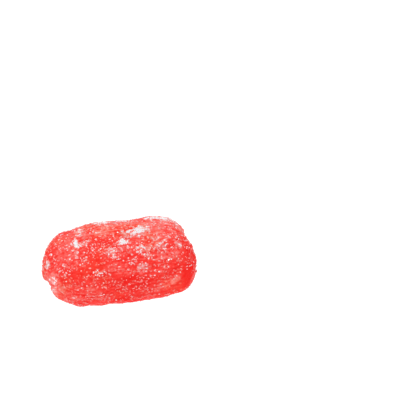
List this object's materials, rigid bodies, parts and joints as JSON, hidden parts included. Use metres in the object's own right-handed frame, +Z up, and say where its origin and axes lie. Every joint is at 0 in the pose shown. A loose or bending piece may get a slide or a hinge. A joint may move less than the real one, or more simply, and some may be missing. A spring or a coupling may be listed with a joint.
{
  "type": "cough candy",
  "caption": "Stubby log-shaped red boiled cough candy with rounded ends, tumbled in white sugar that sticks as cakes, crags and crystals; rests on a flat foot.",
  "frame": {"origin": "under the middle of the candy, on the surface that its flat foot rests on", "axes": "+X along the log, towards its blunter end, -Y towards the shown side, +Z up"},
  "size_m": [0.0292, 0.0164, 0.014],
  "materials": {
    "sanded_sugar": "translucent red boiled sugar, dusted all over with white sugar grains"
  },
  "bodies": {
    "root": {"candy": "sanded_sugar"}
  },
  "joints": []
}
